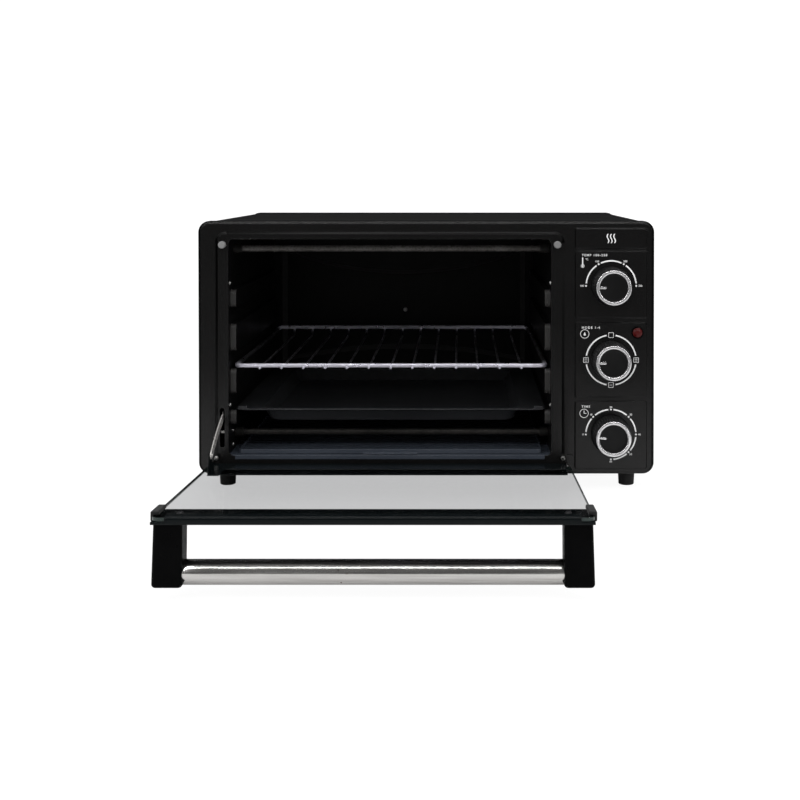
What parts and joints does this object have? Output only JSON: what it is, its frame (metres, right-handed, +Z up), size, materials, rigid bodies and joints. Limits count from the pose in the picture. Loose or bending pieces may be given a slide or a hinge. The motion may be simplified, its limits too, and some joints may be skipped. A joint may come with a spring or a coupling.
{
  "type": "toaster oven",
  "caption": "Countertop toaster oven with drop-down glass door and bar handle, dials beside the cavity, wire rack, baking tray and crumb tray.",
  "frame": {"origin": "on the surface that the feet stand on, midway between the four feet", "axes": "+Z up, -Y the way the door faces, +X to the right of somebody facing the door"},
  "size_m": [0.5, 0.6424, 0.3176],
  "materials": {
    "body_paint": "satin black powder coat",
    "panel_paint": "fine textured black powder coat",
    "enamel": "smooth grey-black non-stick cavity coating",
    "bare_steel": "plain aluminised sheet",
    "chrome_wire": "bright plated wire",
    "tray_coat": "dark non-stick coating",
    "element_steel": "heat-dulled stainless sheath",
    "ceramic": "unglazed steatite darkened by smoke",
    "floor_coat": "blue-black coated sheet",
    "glass": "clear tempered float glass with green edges",
    "door_trim": "satin black",
    "rubber": "matt black rubber",
    "bumper_grey": "grey silicone rubber",
    "black_plastic": "fine-grained moulded black",
    "handle_steel": "polished stainless tube",
    "knob_plastic": "satin black moulding",
    "knob_chrome": "bright plating",
    "lamp_red": "translucent red",
    "hardware_zinc": "zinc plated",
    "switch_plastic": "natural phenolic",
    "wire_silicone": "glass-sleeved lead"
  },
  "bodies": {
    "oven": {"outer_wrap": "body_paint", "rear_cover": "body_paint", "bottom_plate": "bare_steel", "front_frame": "panel_paint", "cavity_top": "enamel", "cavity_left_wall": "enamel", "cavity_right_wall": "enamel", "cavity_rear_wall": "enamel", "cavity_floor": "floor_coat", "control_partition": "bare_steel", "upper_front_element": "element_steel", "upper_rear_element": "element_steel", "lower_front_element": "element_steel", "lower_rear_element": "element_steel", "element_insulators": "ceramic", "thermostat_body": "switch_plastic", "selector_switch_body": "switch_plastic", "timer_body": "switch_plastic", "control_nuts": "hardware_zinc", "lamp_lens": "lamp_red", "lamp_holder": "black_plastic", "foot_front_left": "rubber", "foot_front_right": "rubber", "foot_rear_left": "rubber", "foot_rear_right": "rubber", "door_bumpers": "bumper_grey", "cord_gland": "rubber", "hinge_bracket_left": "panel_paint", "hinge_bracket_right": "panel_paint", "link_guide_pin": "hardware_zinc", "cavity_screws": "hardware_zinc", "cover_screws": "hardware_zinc", "terminal_block": "switch_plastic", "wiring_loom": "wire_silicone"},
    "door": {"door_glass": "glass", "door_top_trim": "door_trim", "door_bottom_rail": "door_trim", "door_cap_left": "rubber", "door_cap_right": "rubber", "handle_bracket_left": "black_plastic", "handle_bracket_right": "black_plastic", "handle_bar": "handle_steel", "handle_screws": "hardware_zinc", "hinge_pins": "hardware_zinc"},
    "link": {"hinge_link": "hardware_zinc"},
    "temperature_dial": {"temperature_knob": "knob_plastic", "temperature_knob_ring": "knob_chrome", "temperature_pointer": "knob_chrome", "temperature_shaft": "hardware_zinc"},
    "selector_dial": {"selector_knob": "knob_plastic", "selector_knob_ring": "knob_chrome", "selector_pointer": "knob_chrome", "selector_shaft": "hardware_zinc"},
    "timer_dial": {"timer_knob": "knob_plastic", "timer_knob_ring": "knob_chrome", "timer_pointer": "knob_chrome", "timer_shaft": "hardware_zinc"},
    "rack": {"wire_rack": "chrome_wire"},
    "tray": {"baking_tray": "tray_coat"},
    "crumb_drawer": {"crumb_tray": "floor_coat"}
  },
  "joints": [
    {"name": "door_hinge", "type": "hinge", "parent": "oven", "child": "door", "pos_m": [-0.04, -0.187, 0.0275], "axis": [1, 0, 0], "range_deg": [-87.2, 0]},
    {"name": "link_pivot", "type": "hinge", "parent": "door", "child": "link", "pos_m": [-0.224, -0.23836, 0.05204], "axis": [1, 0, 0], "range_deg": [0, 44]},
    {"name": "temperature_turn", "type": "hinge", "parent": "oven", "child": "temperature_dial", "pos_m": [0.2023, -0.18, 0.2251], "axis": [0, 1, 0], "range_deg": [0, 180]},
    {"name": "selector_turn", "type": "hinge", "parent": "oven", "child": "selector_dial", "pos_m": [0.2023, -0.18, 0.1438], "axis": [0, 1, 0], "range_deg": [0, 270]},
    {"name": "timer_turn", "type": "hinge", "parent": "oven", "child": "timer_dial", "pos_m": [0.2023, -0.18, 0.0621], "axis": [0, 1, 0], "range_deg": [-5, 265]},
    {"name": "rack_slide", "type": "slide", "parent": "oven", "child": "rack", "axis": [0, -1, 0], "range_m": [0, 0.24]},
    {"name": "tray_slide", "type": "slide", "parent": "oven", "child": "tray", "axis": [0, -1, 0], "range_m": [0, 0.24]},
    {"name": "crumb_slide", "type": "slide", "parent": "oven", "child": "crumb_drawer", "axis": [0, -1, 0], "range_m": [0, 0.15]}
  ],
  "couplings": [
    {"joint": "link_pivot", "follows": "door_hinge", "ratio": -0.5}
  ]
}
